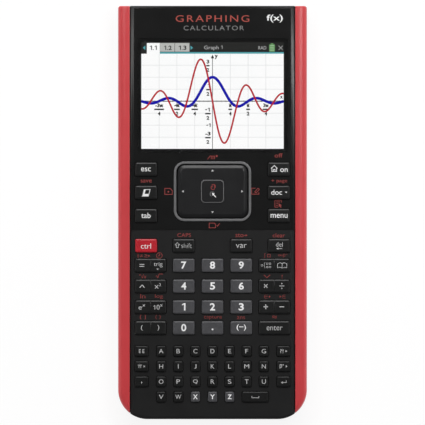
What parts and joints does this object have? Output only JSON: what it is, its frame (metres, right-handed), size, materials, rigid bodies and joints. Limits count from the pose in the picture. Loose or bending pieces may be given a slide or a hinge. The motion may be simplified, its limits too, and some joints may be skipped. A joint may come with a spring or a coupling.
{
  "type": "graphing calculator",
  "caption": "Handheld graphing calculator with a colour display, a square touchpad in a silver ring, rows of sprung keys and red side rails.",
  "frame": {"origin": "on the surface that the foot bars stand on, under the middle of the case", "axes": "+Z out of the key face, +Y towards the display end, +X to the right as a user sees the keys"},
  "size_m": [0.086, 0.1882, 0.0155],
  "materials": {
    "case_gloss_black": "glossy display deck, satin keypad deck",
    "case_satin_black": "fine moulded texture",
    "rail_red": "satin gloss",
    "window_clear": "clear with a black printed border",
    "display_white": "lit colour display",
    "ribbon_amber": "polyimide film",
    "board_green": "solder mask",
    "dome_grey": "translucent silicone",
    "battery_foil": "wrapped cell",
    "contact_gold": "gold plated",
    "steel": "zinc plated",
    "foot_black": "matt",
    "ring_silver": "satin silver",
    "touchpad_black": "fine satin",
    "key_grey": "satin",
    "key_red": "satin",
    "key_black": "satin",
    "legend_white": "printed ink",
    "legend_red": "printed ink"
  },
  "bodies": {
    "case": {"front_case": "case_gloss_black", "rear_case": "case_satin_black", "side_rail_left": "rail_red", "side_rail_right": "rail_red", "display_window": "window_clear", "display_module": "display_white", "display_ribbon": "ribbon_amber", "main_board": "board_green", "keypad_dome_sheet": "dome_grey", "battery_pack": "battery_foil", "battery_contacts": "contact_gold", "battery_door": "case_satin_black", "usb_socket": "steel", "foot_bar_upper": "foot_black", "foot_bar_lower": "foot_black", "case_screw_1": "steel", "case_screw_2": "steel", "case_screw_3": "steel", "case_screw_4": "steel", "door_screw_1": "steel", "door_screw_2": "steel", "touchpad_ring": "ring_silver"},
    "escape_key": {"escape_key": "key_black"},
    "scratchpad_key": {"scratchpad_key": "key_black"},
    "tab_key": {"tab_key": "key_black"},
    "home_key": {"home_key": "key_black"},
    "document_key": {"document_key": "key_black"},
    "menu_key": {"menu_key": "key_black"},
    "control_key": {"control_key": "key_red"},
    "shift_key": {"shift_key": "key_black"},
    "variable_key": {"variable_key": "key_black"},
    "delete_key": {"delete_key": "key_black"},
    "number_key_7": {"number_key_7": "key_grey"},
    "number_key_8": {"number_key_8": "key_grey"},
    "number_key_9": {"number_key_9": "key_grey"},
    "number_key_4": {"number_key_4": "key_grey"},
    "number_key_5": {"number_key_5": "key_grey"},
    "number_key_6": {"number_key_6": "key_grey"},
    "number_key_1": {"number_key_1": "key_grey"},
    "number_key_2": {"number_key_2": "key_grey"},
    "number_key_3": {"number_key_3": "key_grey"},
    "number_key_0": {"number_key_0": "key_grey"},
    "number_key_point": {"number_key_point": "key_grey"},
    "number_key_negate": {"number_key_negate": "key_grey"},
    "equals_trig_rocker": {"equals_trig_rocker": "key_black"},
    "power_square_rocker": {"power_square_rocker": "key_black"},
    "exponential_rocker": {"exponential_rocker": "key_black"},
    "bracket_rocker": {"bracket_rocker": "key_black"},
    "template_catalog_rocker": {"template_catalog_rocker": "key_black"},
    "multiply_divide_rocker": {"multiply_divide_rocker": "key_black"},
    "add_subtract_rocker": {"add_subtract_rocker": "key_black"},
    "enter_key": {"enter_key": "key_black"},
    "letter_row_1": {"letter_row_1": "key_black"},
    "letter_row_2": {"letter_row_2": "key_black"},
    "letter_row_3": {"letter_row_3": "key_black"},
    "letter_row_4": {"letter_row_4": "key_black"},
    "touchpad_carrier": {"touchpad_carrier": "case_satin_black"},
    "touchpad_plate": {"touchpad_plate": "touchpad_black"},
    "touchpad_button": {"touchpad_button": "touchpad_black"},
    "reset_button": {"reset_button": "case_satin_black"}
  },
  "joints": [
    {"name": "escape_press", "type": "slide", "parent": "case", "child": "escape_key", "axis": [0, 0, -1], "range_m": [0, 0.0007], "stiffness_N_per_m": 900},
    {"name": "scratchpad_press", "type": "slide", "parent": "case", "child": "scratchpad_key", "axis": [0, 0, -1], "range_m": [0, 0.0007], "stiffness_N_per_m": 900},
    {"name": "tab_press", "type": "slide", "parent": "case", "child": "tab_key", "axis": [0, 0, -1], "range_m": [0, 0.0007], "stiffness_N_per_m": 900},
    {"name": "home_press", "type": "slide", "parent": "case", "child": "home_key", "axis": [0, 0, -1], "range_m": [0, 0.0007], "stiffness_N_per_m": 900},
    {"name": "document_press", "type": "slide", "parent": "case", "child": "document_key", "axis": [0, 0, -1], "range_m": [0, 0.0007], "stiffness_N_per_m": 900},
    {"name": "menu_press", "type": "slide", "parent": "case", "child": "menu_key", "axis": [0, 0, -1], "range_m": [0, 0.0007], "stiffness_N_per_m": 900},
    {"name": "control_press", "type": "slide", "parent": "case", "child": "control_key", "axis": [0, 0, -1], "range_m": [0, 0.0007], "stiffness_N_per_m": 900},
    {"name": "shift_press", "type": "slide", "parent": "case", "child": "shift_key", "axis": [0, 0, -1], "range_m": [0, 0.0007], "stiffness_N_per_m": 900},
    {"name": "variable_press", "type": "slide", "parent": "case", "child": "variable_key", "axis": [0, 0, -1], "range_m": [0, 0.0007], "stiffness_N_per_m": 900},
    {"name": "delete_press", "type": "slide", "parent": "case", "child": "delete_key", "axis": [0, 0, -1], "range_m": [0, 0.0007], "stiffness_N_per_m": 900},
    {"name": "number_key_7_press", "type": "slide", "parent": "case", "child": "number_key_7", "axis": [0, 0, -1], "range_m": [0, 0.0007], "stiffness_N_per_m": 900},
    {"name": "number_key_8_press", "type": "slide", "parent": "case", "child": "number_key_8", "axis": [0, 0, -1], "range_m": [0, 0.0007], "stiffness_N_per_m": 900},
    {"name": "number_key_9_press", "type": "slide", "parent": "case", "child": "number_key_9", "axis": [0, 0, -1], "range_m": [0, 0.0007], "stiffness_N_per_m": 900},
    {"name": "number_key_4_press", "type": "slide", "parent": "case", "child": "number_key_4", "axis": [0, 0, -1], "range_m": [0, 0.0007], "stiffness_N_per_m": 900},
    {"name": "number_key_5_press", "type": "slide", "parent": "case", "child": "number_key_5", "axis": [0, 0, -1], "range_m": [0, 0.0007], "stiffness_N_per_m": 900},
    {"name": "number_key_6_press", "type": "slide", "parent": "case", "child": "number_key_6", "axis": [0, 0, -1], "range_m": [0, 0.0007], "stiffness_N_per_m": 900},
    {"name": "number_key_1_press", "type": "slide", "parent": "case", "child": "number_key_1", "axis": [0, 0, -1], "range_m": [0, 0.0007], "stiffness_N_per_m": 900},
    {"name": "number_key_2_press", "type": "slide", "parent": "case", "child": "number_key_2", "axis": [0, 0, -1], "range_m": [0, 0.0007], "stiffness_N_per_m": 900},
    {"name": "number_key_3_press", "type": "slide", "parent": "case", "child": "number_key_3", "axis": [0, 0, -1], "range_m": [0, 0.0007], "stiffness_N_per_m": 900},
    {"name": "number_key_0_press", "type": "slide", "parent": "case", "child": "number_key_0", "axis": [0, 0, -1], "range_m": [0, 0.0007], "stiffness_N_per_m": 900},
    {"name": "number_key_point_press", "type": "slide", "parent": "case", "child": "number_key_point", "axis": [0, 0, -1], "range_m": [0, 0.0007], "stiffness_N_per_m": 900},
    {"name": "number_key_negate_press", "type": "slide", "parent": "case", "child": "number_key_negate", "axis": [0, 0, -1], "range_m": [0, 0.0007], "stiffness_N_per_m": 900},
    {"name": "equals_trig_rocker_tilt", "type": "hinge", "parent": "case", "child": "equals_trig_rocker", "pos_m": [-0.02815, -0.02406, 0.01165], "axis": [0, 1, 0], "range_deg": [-2.5, 2.5], "stiffness_Nm_per_rad": 0.15},
    {"name": "power_square_rocker_tilt", "type": "hinge", "parent": "case", "child": "power_square_rocker", "pos_m": [-0.02815, -0.03354, 0.01165], "axis": [0, 1, 0], "range_deg": [-2.5, 2.5], "stiffness_Nm_per_rad": 0.15},
    {"name": "exponential_rocker_tilt", "type": "hinge", "parent": "case", "child": "exponential_rocker", "pos_m": [-0.02815, -0.04302, 0.01165], "axis": [0, 1, 0], "range_deg": [-2.5, 2.5], "stiffness_Nm_per_rad": 0.15},
    {"name": "bracket_rocker_tilt", "type": "hinge", "parent": "case", "child": "bracket_rocker", "pos_m": [-0.02815, -0.0525, 0.01165], "axis": [0, 1, 0], "range_deg": [-2.5, 2.5], "stiffness_Nm_per_rad": 0.15},
    {"name": "template_catalog_rocker_tilt", "type": "hinge", "parent": "case", "child": "template_catalog_rocker", "pos_m": [0.02815, -0.02406, 0.01165], "axis": [0, 1, 0], "range_deg": [-2.5, 2.5], "stiffness_Nm_per_rad": 0.15},
    {"name": "multiply_divide_rocker_tilt", "type": "hinge", "parent": "case", "child": "multiply_divide_rocker", "pos_m": [0.02815, -0.03354, 0.01165], "axis": [0, 1, 0], "range_deg": [-2.5, 2.5], "stiffness_Nm_per_rad": 0.15},
    {"name": "add_subtract_rocker_tilt", "type": "hinge", "parent": "case", "child": "add_subtract_rocker", "pos_m": [0.02815, -0.04302, 0.01165], "axis": [0, 1, 0], "range_deg": [-2.5, 2.5], "stiffness_Nm_per_rad": 0.15},
    {"name": "enter_press", "type": "slide", "parent": "case", "child": "enter_key", "axis": [0, 0, -1], "range_m": [0, 0.0007], "stiffness_N_per_m": 900},
    {"name": "letter_row_1_press", "type": "slide", "parent": "case", "child": "letter_row_1", "axis": [0, 0, -1], "range_m": [0, 0.0005], "stiffness_N_per_m": 900},
    {"name": "letter_row_2_press", "type": "slide", "parent": "case", "child": "letter_row_2", "axis": [0, 0, -1], "range_m": [0, 0.0005], "stiffness_N_per_m": 900},
    {"name": "letter_row_3_press", "type": "slide", "parent": "case", "child": "letter_row_3", "axis": [0, 0, -1], "range_m": [0, 0.0005], "stiffness_N_per_m": 900},
    {"name": "letter_row_4_press", "type": "slide", "parent": "case", "child": "letter_row_4", "axis": [0, 0, -1], "range_m": [0, 0.0005], "stiffness_N_per_m": 900},
    {"name": "touchpad_up_down_tilt", "type": "hinge", "parent": "case", "child": "touchpad_carrier", "pos_m": [0, 0.00963, 0.0116], "axis": [1, 0, 0], "range_deg": [-2.2, 2.2], "stiffness_Nm_per_rad": 0.15},
    {"name": "touchpad_left_right_tilt", "type": "hinge", "parent": "touchpad_carrier", "child": "touchpad_plate", "pos_m": [0, 0.00963, 0.0116], "axis": [0, 1, 0], "range_deg": [-1.8, 1.8], "stiffness_Nm_per_rad": 0.15},
    {"name": "touchpad_button_press", "type": "slide", "parent": "touchpad_plate", "child": "touchpad_button", "axis": [0, 0, -1], "range_m": [0, 0.0005], "stiffness_N_per_m": 900},
    {"name": "reset_button_press", "type": "slide", "parent": "case", "child": "reset_button", "axis": [0, 0, 1], "range_m": [0, 0.0005], "stiffness_N_per_m": 900}
  ]
}
